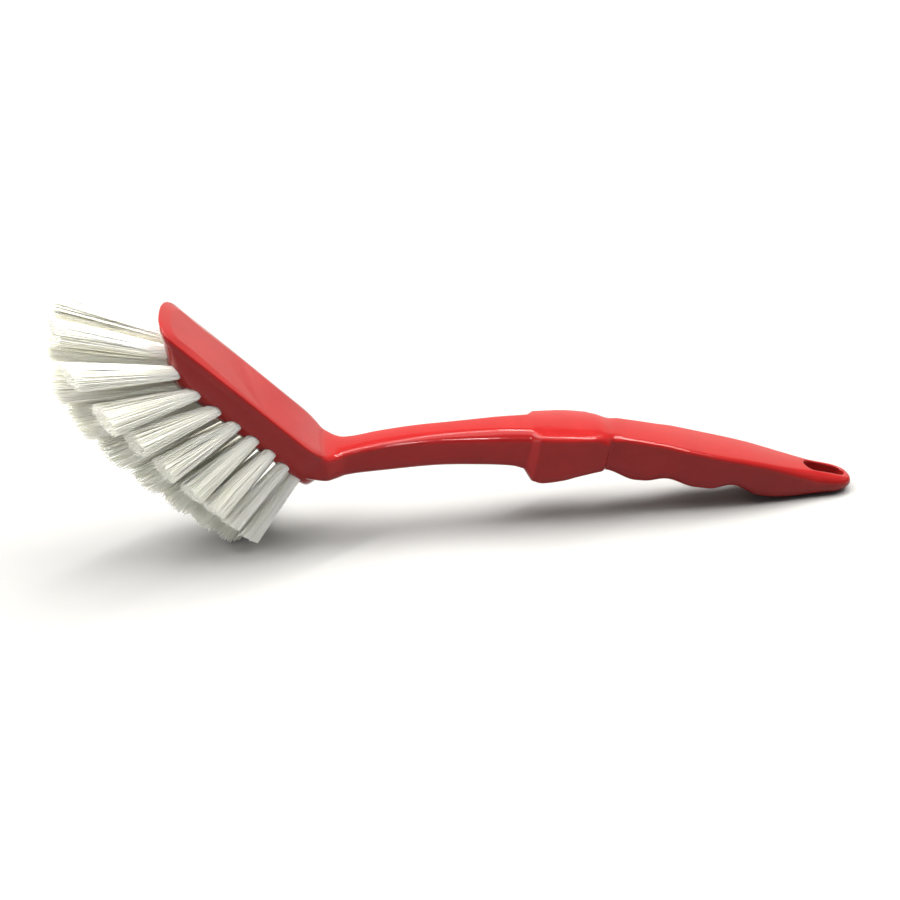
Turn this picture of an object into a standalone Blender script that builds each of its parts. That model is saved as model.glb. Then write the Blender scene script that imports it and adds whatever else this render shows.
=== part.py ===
"""Dish brush: a one-piece plastic handle with nylon tufts stapled into its head.

Units are metres and +Z is up. The brush stands on its rear tufts and on the end of its handle, with
its length along X. The head is modelled in plate coordinates: u runs up the plate from its heel to
its nose, y across it, and n from the top face of the plate towards the bristles.
"""
from math import cos, pi, radians, sin, sqrt

import bmesh
import bpy
from mathutils import Matrix, Vector

# Head plate
PLATE_TILT = radians(47.5)      # slope of the plate above the table
PLATE_HEEL_HEIGHT = 0.0274      # height of the plate's rear end above the table
PLATE_LENGTH = 0.0722
PLATE_WIDTH = 0.0256
PLATE_THICKNESS = 0.0026
NOSE_LENGTH = 0.0060            # stretch of the plate that rounds off at the front
HEEL_LENGTH = 0.0150            # stretch that narrows towards the neck
NOSE_SQUARENESS = 2.3
RIM_ROUND = 0.0009
NOSE_UNDERCUT = 0.0016          # how far the rim leans back under the nose

# Block under the plate, domed from side to side
BLOCK_DEPTH = 0.0150            # from the plate's top face to the crest of the dome
BLOCK_SIDE_INSET = 0.0010       # step from the rim in to the block's wall
BLOCK_NOSE_INSET = 0.0026
BLOCK_HEEL_REACH = 0.0012       # how far it runs on past the plate's heel, under the neck
BLOCK_NOSE_LEAN = 0.0140        # how far the front wall leans back over its depth
BLOCK_HEEL_ROUND = 0.0008
BLOCK_CREST = 0.86              # level at which the dome ends in a flat crest
BLOCK_RINGS = 6

# Neck, from the plate's heel to the collar: (share of the length, size)
NECK_LENGTH = 0.0615
NECK_TOP = ((-0.16, 0.0379), (-0.10, 0.0335), (-0.05, 0.0310), (0.00, 0.0302), (0.24, 0.0320),
            (0.50, 0.0332), (0.80, 0.0335), (1.0, 0.0330))
NECK_BOTTOM = ((-0.22, 0.0235), (-0.05, 0.0216), (0.05, 0.0209), (0.22, 0.0212), (0.50, 0.0218),
               (0.78, 0.0212), (0.93, 0.0204), (1.0, 0.0192))
NECK_HALF_WIDTH = ((-0.22, 0.0094), (-0.07, 0.0104), (-0.02, 0.0086), (0.04, 0.0060),
                   (0.12, 0.0054), (0.50, 0.0058), (0.78, 0.0069), (1.0, 0.0079))
NECK_TOP_ROUND = ((0.0, 0.0013), (0.5, 0.0016), (0.8, 0.0028), (1.0, 0.0030))
NECK_START = -0.22
NECK_RINGS = 15

# Collar, a flared band whose lower front edge guards the fingers
COLLAR_LENGTH = 0.0220
COLLAR_TOP = ((0.0, 0.0322), (0.45, 0.0314), (1.0, 0.0299))
COLLAR_BOTTOM = ((0.0, 0.0156), (0.15, 0.0144), (0.45, 0.0150), (0.65, 0.0158), (1.0, 0.0166))
COLLAR_HALF_WIDTH = ((0.0, 0.0098), (0.45, 0.0104), (1.0, 0.0092))
COLLAR_FACE = 0.0022            # length of the slope from the neck out to the collar
COLLAR_STEP = 0.0009            # length of the step from the collar in to the grip
COLLAR_LEAN = 0.0030            # how far its lower front edge reaches towards the head
COLLAR_REAR_LEAN = 0.0020       # and its lower rear edge
COLLAR_CROWN = 0.0012
COLLAR_TOP_ROUND = 0.0013
COLLAR_RINGS = 6

# Grip, from the collar to the end of the handle
GRIP_LENGTH = 0.0831
GRIP_TOP = ((0.0, 0.0296), (0.20, 0.0254), (0.43, 0.0196), (0.58, 0.0158), (0.716, 0.0118),
            (0.85, 0.0081), (0.944, 0.0058), (1.0, 0.0047))
GRIP_FOOT = (0.74, 0.875)       # stretch of the underside that lies on the table
GRIP_BOTTOM = ((0.0, 0.0132), (0.10, 0.0116), (0.20, 0.0100), (0.30, 0.0083), (0.40, 0.0065),
               (0.50, 0.0046), (0.56, 0.0031), (0.61, 0.0018), (0.66, 0.0008), (0.70, 0.0003),
               (GRIP_FOOT[0], 0.0), (GRIP_FOOT[1], 0.0), (1.0, 0.0010))     # before the scallops
GRIP_HALF_WIDTH = ((0.0, 0.0077), (0.20, 0.0080), (0.29, 0.0088), (0.43, 0.0088), (0.57, 0.0083),
                   (0.716, 0.0074), (0.88, 0.0064), (1.0, 0.0060))
GRIP_TOP_ROUND = ((0.0, 0.0015), (0.31, 0.0017), (0.62, 0.0023), (0.80, 0.0036), (0.90, 0.0043),
                  (1.0, 0.0043))
GRIP_LEAN_END = 0.12            # where its sections stand upright again
GRIP_TIP_LENGTH = 0.0092
GRIP_TIP_SQUARENESS = 2.5
GRIP_RINGS = 26
GRIP_TIP_RINGS = 5
SCALLOPS = ((0.0, 0.0032, 0.0090), (0.235, 0.0018, 0.0086), (0.496, 0.0024, 0.0086))

UNDER_ROUND = 0.0040            # rounding of the handle's lower edges
TOP_CROWN = 0.0005
CORNER_STEPS = 3
CROWN_STEPS = 3

# Hang slot, straight down through the end of the handle
SLOT_LENGTH = 0.0135
SLOT_WIDTH = 0.0054
SLOT_END_WALL = 0.0022

# Tufts; pairs give a size by its share of the way from the first hole to the front pair
HOLE_DIAMETER = 0.0042
HOLE_DEPTH = 0.0060
SEAT_GAP = 0.0003               # clearance of a tuft and an anchor in the moulding
SIDE_ROW_COUNT = 8
SIDE_ROW_START = 0.0064         # first hole's distance up the plate
SIDE_ROW_OPENING = 0.00019      # by which each pitch grows, times two
SIDE_ROW_MARGIN = 0.0036        # from the plate's edge to the middle of a side row's holes
HEEL_CURVE = (0.0015, 0.0204)   # end and length of a side row's inward curve at the heel
NOSE_CURVE = (0.0067, 0.0124)   # and at the nose, both from the tip of the plate
NOSE_PAIR_SETBACK = 0.0088      # from the tip of the plate to its front two holes
NOSE_PAIR_HALF_WIDTH = 0.0050
NOSE_PAIR_GAP = 0.0057          # from them back to the last hole of the side rows
FAN_HEEL = radians(-9.5)        # lean of the tufts towards the nose, at the first and last hole
FAN_NOSE = radians(60.0)
FAN_POWER = 1.2
SPLAY = radians(10.5)           # outward lean of the side rows
SIDE_LENGTH_HEEL = 0.0252
SIDE_LENGTH_NOSE = 0.0340
SIDE_LENGTH_POWER = 5           # the side tufts only grow longer near the nose
MIDDLE_LENGTH = ((0.0, 0.0306), (0.40, 0.0332), (0.70, 0.0360), (0.85, 0.0350), (1.0, 0.0338))
STRAND_PITCH = 0.00073
STRAND_RADIUS = 0.00031
STRAND_SIDES = 3
STRAND_FLARE = 1.68
TUFT_FLARE = ((0.0, 1.75), (0.40, 2.39), (0.70, 2.50), (1.0, 2.04))     # at the cut
CUT_UNEVEN = 0.0005
STRAND_ROOT = 0.0004            # length of a strand that is fused into the plug

# Anchors
ANCHOR_THICKNESS = 0.0004
ANCHOR_HEIGHT = 0.0016
ANCHOR_BITE = 0.0005            # how far each end reaches into the wall of the hole
ANCHOR_LIFT = 0.0013            # from the bottom of the hole

ROUND_SIDES = 12

HANDLE_RED = (0.86, 0.06, 0.05)
NYLON_WHITE = (0.86, 0.86, 0.80)
ANCHOR_STEEL = (0.62, 0.60, 0.56)


def smooth(points, t):
    """Height of a smooth curve through the points, without overshoot between them."""
    if t <= points[0][0]:
        return points[0][1]
    if t >= points[-1][0]:
        return points[-1][1]
    steps = [(b[1] - a[1]) / (b[0] - a[0]) for a, b in zip(points, points[1:])]
    tangents = [steps[0]]
    for before, after in zip(steps, steps[1:]):
        flat = before * after <= 0
        tangents.append(0.0 if flat else 2 * before * after / (before + after))
    tangents.append(steps[-1])
    i = max(k for k in range(len(steps)) if points[k][0] <= t)
    span = points[i + 1][0] - points[i][0]
    s = (t - points[i][0]) / span
    low, high = points[i][1], points[i + 1][1]
    rise = (3 - 2 * s) * s * s
    ease_in = s * (1 - s) * (1 - s) * span * tangents[i]
    ease_out = -s * s * (1 - s) * span * tangents[i + 1]
    return low + (high - low) * rise + ease_in + ease_out


def plastic(name, colour, roughness, metallic=0.0):
    material = bpy.data.materials.new(name)
    material.use_nodes = True
    shader = material.node_tree.nodes["Principled BSDF"]
    shader.inputs["Base Color"].default_value = (*colour, 1.0)
    shader.inputs["Roughness"].default_value = roughness
    shader.inputs["Metallic"].default_value = metallic
    material.diffuse_color = (*colour, 1.0)
    return material


def new_object(name, mesh_edit, material=None):
    """An object whose faces point outwards, from a finished bmesh."""
    bmesh.ops.recalc_face_normals(mesh_edit, faces=mesh_edit.faces[:])
    mesh = bpy.data.meshes.new(name)
    mesh_edit.to_mesh(mesh)
    mesh_edit.free()
    thing = bpy.data.objects.new(name, mesh)
    bpy.context.scene.collection.objects.link(thing)
    if material:
        mesh.materials.append(material)
    return thing


def loft(rings):
    """A closed bmesh through rings that hold equally many points."""
    edit = bmesh.new()
    loops = [[edit.verts.new(point) for point in ring] for ring in rings]
    count = len(rings[0])
    for low, high in zip(loops, loops[1:]):
        for i in range(count):
            j = (i + 1) % count
            edit.faces.new((low[i], low[j], high[j], high[i]))
    edit.faces.new(loops[0])
    edit.faces.new(loops[-1])
    return edit


def cut(target, cutter, operation="DIFFERENCE"):
    """Apply a Boolean to the target, then delete the cutter."""
    modifier = target.modifiers.new("cut", "BOOLEAN")
    modifier.operation = operation
    modifier.solver = "EXACT"
    modifier.object = cutter
    depsgraph = bpy.context.evaluated_depsgraph_get()
    result = bpy.data.meshes.new_from_object(target.evaluated_get(depsgraph))
    target.modifiers.clear()
    target.data = result
    bpy.data.objects.remove(cutter)


# Head

def head_point(u, y, n):
    """World place of a point in plate coordinates."""
    x = -u * cos(PLATE_TILT) - n * sin(PLATE_TILT)
    z = PLATE_HEEL_HEIGHT + u * sin(PLATE_TILT) - n * cos(PLATE_TILT)
    return Vector((x, y, z))


def oval(heel, nose, half_width, heel_length, nose_length, squareness):
    """Plan outline of the head: straight sides, a rounded nose and a narrowing heel."""
    steps = 9
    side = []
    for i in range(steps + 1):
        angle = pi / 2 * i / steps
        along = heel + heel_length * (1 - cos(angle))
        side.append((along, half_width * sin(angle)))
    for i in range(steps + 1):
        angle = pi / 2 * (1 - i / steps)
        along = nose - nose_length * (1 - cos(angle) ** (2 / squareness))
        side.append((along, half_width * sin(angle) ** (2 / squareness)))
    other = [(u, -y) for u, y in side[-2:0:-1]]
    return side + other


def plate_ring(inset, n):
    nose = PLATE_LENGTH - inset - NOSE_UNDERCUT * n / PLATE_THICKNESS
    outline = oval(inset, nose, PLATE_WIDTH / 2 - inset, HEEL_LENGTH, NOSE_LENGTH, NOSE_SQUARENESS)
    return [head_point(u, y, n) for u, y in outline]


def dome(level):
    """Half width, nose, heel and depth of the block's contour at a level from 0 to 1."""
    angle = pi / 2 * level
    half_width = (PLATE_WIDTH / 2 - BLOCK_SIDE_INSET) * cos(angle)
    nose = PLATE_LENGTH - BLOCK_NOSE_INSET - BLOCK_NOSE_LEAN * sin(angle)
    heel = -BLOCK_HEEL_REACH + BLOCK_HEEL_ROUND * (1 - cos(angle))
    depth = PLATE_THICKNESS + (BLOCK_DEPTH - PLATE_THICKNESS) * sin(angle)
    return half_width, nose, heel, depth


def end_curves(level, half_width):
    """Lengths of the curves at the heel and the nose of the block's contour."""
    heel_length = HEEL_LENGTH * half_width / (PLATE_WIDTH / 2)
    nose_length = NOSE_LENGTH + half_width * sin(pi / 2 * level)
    return heel_length, nose_length


def block_ring(level):
    half_width, nose, heel, depth = dome(level)
    heel_length, nose_length = end_curves(level, half_width)
    outline = oval(heel, nose, half_width, heel_length, nose_length, NOSE_SQUARENESS)
    return [head_point(u, y, depth) for u, y in outline]


def head():
    """The plate with its rounded rim, and the domed block under it."""
    rings = [plate_ring(RIM_ROUND, 0.0)]
    rings.append(plate_ring(RIM_ROUND * 0.3, RIM_ROUND * 0.3))
    rings.append(plate_ring(0.0, RIM_ROUND))
    rings.append(plate_ring(0.0, PLATE_THICKNESS - RIM_ROUND))
    rings.append(plate_ring(RIM_ROUND * 0.5, PLATE_THICKNESS))
    for i in range(BLOCK_RINGS + 1):
        rings.append(block_ring(BLOCK_CREST * i / BLOCK_RINGS))
    return new_object("head", loft(rings))


# Handle

def section(x, lean, half_width, top, bottom, top_round, crown):
    """A rounded cross-section; its lower edge leans towards the head."""
    under_round = min(UNDER_ROUND, half_width * 0.8, (top - bottom) * 0.55)
    top_round = min(top_round, half_width * 0.8, (top - bottom) * 0.42)
    points = []
    for side, level, radius, start in ((1, 1, top_round, 0), (1, -1, under_round, 1),
                                       (-1, -1, under_round, 2), (-1, 1, top_round, 3)):
        middle_y = side * (half_width - radius)
        middle_z = (top if level > 0 else bottom) - level * radius
        for i in range(CORNER_STEPS + 1):
            angle = pi / 2 - pi / 2 * (start + i / CORNER_STEPS)
            points.append((middle_y + radius * cos(angle), middle_z + radius * sin(angle)))
    flat = half_width - top_round
    for i in range(1, CROWN_STEPS + 1):
        points.append((-flat + 2 * flat * i / (CROWN_STEPS + 1), top))
    ring = []
    for y, z in points:
        share = (z - bottom) / (top - bottom)
        rise = crown * (1 - (y / half_width) ** 2) * max(0.0, 2 * share - 1)
        ring.append(Vector((x - lean * (1 - share), y, z + rise)))
    return ring


def neck_sections():
    rings = []
    for i in range(NECK_RINGS + 1):
        t = NECK_START + (1 - NECK_START) * i / NECK_RINGS
        rings.append(section(t * NECK_LENGTH, COLLAR_LEAN * max(0.0, t) ** 3,
                             smooth(NECK_HALF_WIDTH, t), smooth(NECK_TOP, t),
                             smooth(NECK_BOTTOM, t), smooth(NECK_TOP_ROUND, t), TOP_CROWN))
    return rings


def collar_sections():
    start = NECK_LENGTH + COLLAR_FACE
    rings = []
    for i in range(COLLAR_RINGS + 1):
        t = i / COLLAR_RINGS
        lean = COLLAR_LEAN + (COLLAR_REAR_LEAN - COLLAR_LEAN) * t
        rings.append(section(start + t * COLLAR_LENGTH, lean, smooth(COLLAR_HALF_WIDTH, t),
                             smooth(COLLAR_TOP, t), smooth(COLLAR_BOTTOM, t), COLLAR_TOP_ROUND,
                             COLLAR_CROWN))
    return rings


def grip_bottom(t):
    """Underside of the grip: a belly down to the foot, with a scallop for each finger."""
    height = smooth(GRIP_BOTTOM, t)
    for place, depth, half_length in SCALLOPS:
        away = abs(t - place) * GRIP_LENGTH / half_length
        if away < 1:
            height += depth * (1 + cos(pi * away)) / 2
    return height


def grip_start():
    return NECK_LENGTH + COLLAR_FACE + COLLAR_LENGTH + COLLAR_STEP


def grip_sections():
    rings = []
    tip_start = 1 - GRIP_TIP_LENGTH / GRIP_LENGTH
    foot_start, foot_end = GRIP_FOOT
    places = [tip_start * i / GRIP_RINGS for i in range(GRIP_RINGS + 1)]
    nearest = min(places, key=lambda t: abs(t - foot_start))
    places[places.index(nearest)] = foot_start
    nearest = min(places, key=lambda t: abs(t - foot_end))
    places[places.index(nearest)] = foot_end
    for t in places:
        lean = COLLAR_REAR_LEAN * max(0.0, 1 - t / GRIP_LEAN_END)
        rings.append(section(grip_start() + t * GRIP_LENGTH, lean, smooth(GRIP_HALF_WIDTH, t),
                             smooth(GRIP_TOP, t), grip_bottom(t), smooth(GRIP_TOP_ROUND, t),
                             TOP_CROWN))
    for i in range(1, GRIP_TIP_RINGS + 1):
        away = sin(pi / 2 * i / (GRIP_TIP_RINGS + 0.4))
        t = tip_start + (1 - tip_start) * away
        narrow = (1 - away ** GRIP_TIP_SQUARENESS) ** (1 / GRIP_TIP_SQUARENESS)
        half_width = smooth(GRIP_HALF_WIDTH, t) * narrow
        top, bottom = smooth(GRIP_TOP, t), grip_bottom(t)
        middle, half_height = (top + bottom) / 2, (top - bottom) / 2 * (0.35 + 0.65 * narrow)
        rings.append(section(grip_start() + t * GRIP_LENGTH, 0.0, half_width,
                             middle + half_height, middle - half_height,
                             smooth(GRIP_TOP_ROUND, t) * narrow, TOP_CROWN * narrow))
    return rings


def hang_slot():
    """Cutter for the slot: an upright bar with round ends."""
    end = grip_start() + GRIP_LENGTH - SLOT_END_WALL
    radius = SLOT_WIDTH / 2
    centres = (end - radius, end - SLOT_LENGTH + radius)
    outline = []
    for centre, start in zip(centres, (-pi / 2, pi / 2)):
        for i in range(ROUND_SIDES // 2 + 1):
            angle = start + pi * i / (ROUND_SIDES // 2)
            outline.append((centre + radius * cos(angle), radius * sin(angle)))
    below, above = -PLATE_THICKNESS, COLLAR_TOP[0][1]
    rings = [[Vector((x, y, z)) for x, y in outline] for z in (below, above)]
    return new_object("hang_slot", loft(rings))


# Tufts and anchors

def nose_pair_place():
    return PLATE_LENGTH - NOSE_PAIR_SETBACK


def row_share(u):
    """Place along the rows, from 0 at the first hole to 1 at the front pair."""
    return (u - SIDE_ROW_START) / (nose_pair_place() - SIDE_ROW_START)


def side_row():
    """Places of a side row's holes up the plate, whose pitch grows towards the nose."""
    steps = SIDE_ROW_COUNT - 1
    reach = nose_pair_place() - NOSE_PAIR_GAP - SIDE_ROW_START
    pitch = (reach - SIDE_ROW_OPENING * steps * steps) / steps
    return [SIDE_ROW_START + pitch * k + SIDE_ROW_OPENING * k * k for k in range(steps + 1)]


def row_half_width(u):
    """Distance of a side row from the middle of the plate, which shrinks at both ends."""
    heel, heel_length = HEEL_CURVE
    nose, nose_length = PLATE_LENGTH - NOSE_CURVE[0], NOSE_CURVE[1]
    away = max(0.0, (heel + heel_length - u) / heel_length, (u - nose + nose_length) / nose_length)
    return (PLATE_WIDTH / 2 - SIDE_ROW_MARGIN) * sqrt(max(0.0, 1 - away * away))


def face_depth(u, y):
    """Depth n of the domed face under a point of the plate, found by halving."""
    shallow, deep = 0.0, 1.0
    for _ in range(30):
        level = (shallow + deep) / 2
        half_width, nose, heel, _ = dome(level)
        heel_length, nose_length = end_curves(level, half_width)
        into_heel = max(0.0, (heel + heel_length - u) / heel_length)
        into_nose = max(0.0, (u - nose + nose_length) / nose_length)
        heel_share = sqrt(max(0.0, 1 - into_heel * into_heel))
        nose_share = max(0.0, 1 - into_nose ** NOSE_SQUARENESS) ** (1 / NOSE_SQUARENESS)
        if abs(y) < half_width * min(heel_share, nose_share):
            shallow = level
        else:
            deep = level
    return dome(shallow)[3]


def tuft_places():
    """Name, plate place and length of every tuft."""
    along = side_row()
    places = []
    for side, name in ((-1, "near"), (1, "far")):
        row = [(u, row_half_width(u)) for u in along]
        row.append((nose_pair_place(), NOSE_PAIR_HALF_WIDTH))
        for k, (u, y) in enumerate(row):
            grown = row_share(u) ** SIDE_LENGTH_POWER
            length = SIDE_LENGTH_HEEL + (SIDE_LENGTH_NOSE - SIDE_LENGTH_HEEL) * grown
            places.append((f"{name}_{k + 1}", u, side * y, length))
    for k, (low, high) in enumerate(zip(along, along[1:] + [nose_pair_place()])):
        u = (low + high) / 2
        places.append((f"mid_{k + 1}", u, 0.0, smooth(MIDDLE_LENGTH, row_share(u))))
    return places


def tuft_frame(u, y):
    """Matrix at a tuft's root: Z along the tuft, Y across the head."""
    fan = FAN_HEEL + (FAN_NOSE - FAN_HEEL) * max(0.0, row_share(u)) ** FAN_POWER
    splay = SPLAY * y / (PLATE_WIDTH / 2 - SIDE_ROW_MARGIN)
    root = head_point(u, y, face_depth(u, y))
    up_plate = head_point(1, 0, 0) - head_point(0, 0, 0)
    to_bristles = head_point(0, 0, 1) - head_point(0, 0, 0)
    axis = (to_bristles * cos(fan) + up_plate * sin(fan)) * cos(splay) + Vector((0, sin(splay), 0))
    across = (Vector((0, 1, 0)) - axis * axis.y).normalized()
    along = across.cross(axis)
    frame = Matrix((along, across, axis)).transposed().to_4x4()
    frame.translation = root
    return frame


def cylinder(edit, frame, radius, low, high):
    """Add an upright cylinder of the frame to a bmesh."""
    place = frame @ Matrix.Translation((0, 0, (low + high) / 2))
    bmesh.ops.create_cone(edit, cap_ends=True, segments=ROUND_SIDES, radius1=radius,
                          radius2=radius, depth=high - low, matrix=place)


def bar(edit, frame, thickness, length, low, high):
    """Add a flat bar that lies across the head, between two heights of the frame."""
    size = Matrix.Diagonal((thickness, length, high - low, 1))
    place = frame @ Matrix.Translation((0, 0, (low + high) / 2)) @ size
    bmesh.ops.create_cube(edit, size=1.0, matrix=place)


def anchor_span():
    """Lowest and highest place of an anchor along its hole."""
    low = -HOLE_DEPTH + ANCHOR_LIFT
    return low, low + ANCHOR_HEIGHT


def drill(moulding, frames):
    """Cut a blind hole for each tuft, and the bites of the anchors' ends in its wall."""
    holes = bmesh.new()
    bites = bmesh.new()
    low, high = anchor_span()
    for frame in frames:
        cylinder(holes, frame, HOLE_DIAMETER / 2, -HOLE_DEPTH, HOLE_DEPTH)
        bar(bites, frame, ANCHOR_THICKNESS + 2 * SEAT_GAP,
            HOLE_DIAMETER + 2 * ANCHOR_BITE + 2 * SEAT_GAP, low - SEAT_GAP, high + SEAT_GAP)
    cut(moulding, new_object("holes", holes))
    cut(moulding, new_object("bites", bites))


def strand_places():
    """Middle, first and second ring of strands, as places in the tuft's cross-section."""
    places = [(0.0, 0.0)]
    for ring in (1, 2):
        count = 6 * ring
        for i in range(count):
            angle = 2 * pi * (i + 0.5 * (ring - 1)) / count
            places.append((ring * STRAND_PITCH * cos(angle), ring * STRAND_PITCH * sin(angle)))
    return places


def strand_corner(frame, place, angle, share, length, flare):
    """World place of a strand's corner, at a share of its length from the plug."""
    spread = 1 + (flare - 1) * share
    reach = STRAND_RADIUS * (1 + (STRAND_FLARE - 1) * share)
    x = place[0] * spread + reach * cos(angle)
    y = place[1] * spread + reach * sin(angle)
    return frame @ Vector((x, y, length * share))


def strands(frame, length, flare, turn):
    """All strands of a tuft, none touching another, cut off where they meet the table."""
    edit = bmesh.new()
    for number, place in enumerate(strand_places()):
        cut_length = length + CUT_UNEVEN * sin(2.4 * number + turn)
        root, tip = [], []
        for side in range(STRAND_SIDES):
            angle = turn + 2 * pi * side / STRAND_SIDES
            start = strand_corner(frame, place, angle, 0.0, cut_length, flare)
            end = strand_corner(frame, place, angle, 1.0, cut_length, flare)
            if end.z < 0:
                end = start.lerp(end, start.z / (start.z - end.z))
                end.z = 0.0
            backward = (start - end).normalized() * STRAND_ROOT
            root.append(edit.verts.new(start + backward))
            tip.append(edit.verts.new(end))
        for i in range(STRAND_SIDES):
            j = (i + 1) % STRAND_SIDES
            edit.faces.new((root[i], root[j], tip[j], tip[i]))
        edit.faces.new(root)
        edit.faces.new(tip)
    return new_object("strands", edit)


def tuft(name, frame, length, flare, turn, material):
    """A tuft: the packed plug that sits in the hole, slotted for its anchor, and its strands."""
    plug = bmesh.new()
    cylinder(plug, frame, HOLE_DIAMETER / 2 - SEAT_GAP, -HOLE_DEPTH + SEAT_GAP, 0.0)
    thing = new_object(name, plug)
    slot = bmesh.new()
    low, high = anchor_span()
    bar(slot, frame, ANCHOR_THICKNESS + 2 * SEAT_GAP, HOLE_DIAMETER, low - SEAT_GAP,
        high + SEAT_GAP)
    cut(thing, new_object("slot", slot))
    cut(thing, strands(frame, length, flare, turn), "UNION")
    thing.data.materials.clear()
    thing.data.materials.append(material)
    return thing


def anchor(name, frame, material):
    edit = bmesh.new()
    low, high = anchor_span()
    bar(edit, frame, ANCHOR_THICKNESS, HOLE_DIAMETER + 2 * ANCHOR_BITE, low, high)
    return new_object(name, edit, material)


def handle_body(frames, material):
    """The whole moulding: head, neck, collar and grip, drilled and slotted."""
    rings = neck_sections() + collar_sections() + grip_sections()
    body = new_object("handle_body", loft(rings))
    cut(body, head(), "UNION")
    drill(body, frames)
    cut(body, hang_slot())
    body.data.materials.clear()
    body.data.materials.append(material)
    body.data.shade_smooth()
    body.data.set_sharp_from_angle(angle=radians(35))
    return body


def centre_on_origin(things):
    """Move everything so that the origin is under the middle of the brush."""
    places = [thing.matrix_world @ corner.co for thing in things for corner in thing.data.vertices]
    middle = (min(p.x for p in places) + max(p.x for p in places)) / 2
    for thing in things:
        thing.location.x -= middle


def build():
    for old in list(bpy.data.objects):
        bpy.data.objects.remove(old)
    red = plastic("handle_red", HANDLE_RED, 0.28)
    nylon = plastic("bristle_white", NYLON_WHITE, 0.45)
    steel = plastic("anchor_metal", ANCHOR_STEEL, 0.35, 1.0)
    places = tuft_places()
    frames = [tuft_frame(u, y) for _, u, y, _ in places]
    things = [handle_body(frames, red)]
    for number, ((name, u, y, length), frame) in enumerate(zip(places, frames)):
        flare = smooth(TUFT_FLARE, row_share(u))
        things.append(tuft("tuft_" + name, frame, length, flare, 0.9 * number, nylon))
        things.append(anchor("anchor_" + name, frame, steel))
    centre_on_origin(things)


build()
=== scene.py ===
"""Looks of the dish brush: a detailed red moulding, fine nylon tufts, floor, light and camera.

Units are metres and +Z is up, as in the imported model. The moulding is built from the CAD's sizes,
apart from the few that are marked below. Its profile is written with x = 0 at the heel of the
head plate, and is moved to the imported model's place afterwards. The head is described in plate
coordinates: u runs up the plate from its heel to its nose, y across it, and n from its top face
towards the bristles.
"""
from math import cos, pi, radians, sin, sqrt, tan

import bmesh
import bpy
import numpy as np
from mathutils import Matrix, Vector


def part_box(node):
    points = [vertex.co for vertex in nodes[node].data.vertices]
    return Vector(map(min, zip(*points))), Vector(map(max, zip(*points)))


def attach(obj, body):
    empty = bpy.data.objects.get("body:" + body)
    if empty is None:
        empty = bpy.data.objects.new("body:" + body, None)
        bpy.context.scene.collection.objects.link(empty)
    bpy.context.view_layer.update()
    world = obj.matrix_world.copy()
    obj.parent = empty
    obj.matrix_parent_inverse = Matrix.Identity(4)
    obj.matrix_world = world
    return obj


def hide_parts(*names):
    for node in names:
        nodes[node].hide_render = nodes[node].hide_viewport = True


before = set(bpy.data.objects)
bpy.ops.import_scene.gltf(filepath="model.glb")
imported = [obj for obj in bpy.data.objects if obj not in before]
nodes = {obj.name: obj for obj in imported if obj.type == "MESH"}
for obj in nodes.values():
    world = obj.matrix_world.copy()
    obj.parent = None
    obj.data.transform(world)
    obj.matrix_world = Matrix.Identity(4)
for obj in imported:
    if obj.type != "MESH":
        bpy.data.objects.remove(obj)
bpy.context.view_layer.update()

# Head plate, as in the CAD
PLATE_TILT = radians(47.5)
PLATE_HEEL_HEIGHT = 0.0274
PLATE_LENGTH = 0.0722
PLATE_WIDTH = 0.0256
PLATE_THICKNESS = 0.0026
NOSE_LENGTH = 0.0060
HEEL_LENGTH = 0.0150
NOSE_SQUARENESS = 2.3
RIM_ROUND = 0.0009
NOSE_UNDERCUT = 0.0016

# Shoulder that falls away from the flat top face to the rim, and opens around the nose. The CAD
# has none.
EDGE_ROUND = 0.0005             # rounding of the rim's upper edge
SHOULDER_WIDTH = (0.0014, 0.0036)   # along the sides and at the nose
SHOULDER_DROP = (0.0002, 0.0007)
SHOULDER_RISE = 0.0003          # by which the flat stands above the CAD's top face at the nose
NOSE_SPAN = (0.0400, 0.0662)    # stretch up the plate over which it opens

# Block under the plate, as in the CAD but for its sides
BLOCK_DEPTH = 0.0150
BLOCK_SIDE_INSET = 0.0005       # 0.5 mm fuller than in the CAD
BLOCK_NOSE_INSET = 0.0026
BLOCK_HEEL_REACH = 0.0012
BLOCK_NOSE_LEAN = 0.0140
BLOCK_HEEL_ROUND = 0.0008
BLOCK_CREST = 0.86

# Neck, as in the CAD but for its upper edges and its root: (share of the length, size)
NECK_LENGTH = 0.0615
NECK_TOP = ((-0.16, 0.0379), (-0.10, 0.0335), (-0.05, 0.0310), (0.00, 0.0302), (0.24, 0.0320),
            (0.50, 0.0332), (0.80, 0.0335), (1.0, 0.0330))
NECK_BOTTOM = ((-0.22, 0.0235), (-0.05, 0.0216), (0.05, 0.0209), (0.22, 0.0212), (0.50, 0.0218),
               (0.78, 0.0212), (0.93, 0.0204), (1.0, 0.0192))
NECK_HALF_WIDTH = ((-0.22, 0.0094), (-0.07, 0.0104), (-0.02, 0.0086), (0.04, 0.0060),
                   (0.12, 0.0054), (0.50, 0.0058), (0.78, 0.0069), (1.0, 0.0079))
NECK_TOP_ROUND = ((0.0, 0.0012), (0.3, 0.0015), (0.5, 0.0024), (0.8, 0.0034),
                  (1.0, 0.0034))    # softer than in the CAD from the middle on
NECK_START = -0.22
NECK_LEAN_POWER = 3             # how late it takes on the lean of the collar
NECK_SINK = 0.0006              # how far its buried root is lowered under the plate's top face
NECK_SINK_SPAN = (0.05, 0.10)

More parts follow.
